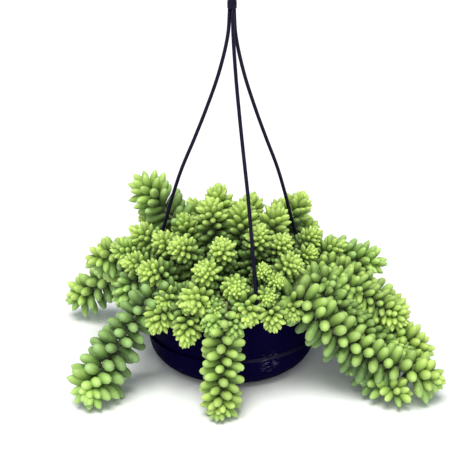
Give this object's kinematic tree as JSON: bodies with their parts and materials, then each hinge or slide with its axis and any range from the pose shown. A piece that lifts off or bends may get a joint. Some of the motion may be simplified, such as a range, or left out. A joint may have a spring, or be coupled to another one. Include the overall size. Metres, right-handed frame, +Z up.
{
  "type": "potted burro's tail plant",
  "caption": "Burro's tail succulent with plump yellow-green leaves trailing over a shallow dark plastic hanging pot with a clip-on drip saucer and a stranded hanger.",
  "frame": {"origin": "centre of the drip saucer's underside, on the surface it stands on", "axes": "+Z up the pot's axis to the hook; -Y is the side the plant is seen from; +X is to the right from there"},
  "size_m": [0.4327, 0.355, 0.4754],
  "materials": {
    "pot_plastic": "satin",
    "hanger_plastic": "satin",
    "potting_mix": "rough",
    "leaf": "waxy"
  },
  "bodies": {
    "root": {"drip_saucer": "pot_plastic", "pot": "pot_plastic", "soil": "potting_mix", "hanger_hook": "hanger_plastic", "hanger_strand_front": "hanger_plastic", "hanger_strand_right": "hanger_plastic", "hanger_strand_left": "hanger_plastic", "stem_top_1": "leaf", "stem_top_2": "leaf", "stem_top_3": "leaf", "stem_top_4": "leaf", "stem_top_5": "leaf", "stem_top_6": "leaf", "stem_top_7": "leaf", "stem_front_1": "leaf", "stem_front_2": "leaf", "stem_front_3": "leaf", "stem_front_4": "leaf", "stem_front_5": "leaf", "stem_front_6": "leaf", "stem_front_7": "leaf", "stem_front_8": "leaf", "stem_front_9": "leaf", "stem_front_10": "leaf", "stem_front_11": "leaf", "stem_front_12": "leaf", "stem_left_1": "leaf", "stem_left_2": "leaf", "stem_left_3": "leaf", "stem_left_4": "leaf", "stem_left_5": "leaf", "stem_left_6": "leaf", "stem_left_7": "leaf", "stem_left_8": "leaf", "stem_right_1": "leaf", "stem_right_2": "leaf", "stem_right_3": "leaf", "stem_right_4": "leaf", "stem_back_1": "leaf", "stem_back_2": "leaf", "stem_back_3": "leaf", "stem_back_4": "leaf", "stem_back_5": "leaf", "stem_back_6": "leaf", "stem_back_7": "leaf", "stem_back_8": "leaf", "stem_back_9": "leaf", "stem_back_10": "leaf", "tail_1": "leaf", "tail_2": "leaf", "tail_3": "leaf", "tail_4": "leaf", "tail_5": "leaf", "tail_6": "leaf", "tail_7": "leaf", "tail_8": "leaf", "tail_9": "leaf", "tail_10": "leaf"}
  },
  "joints": []
}
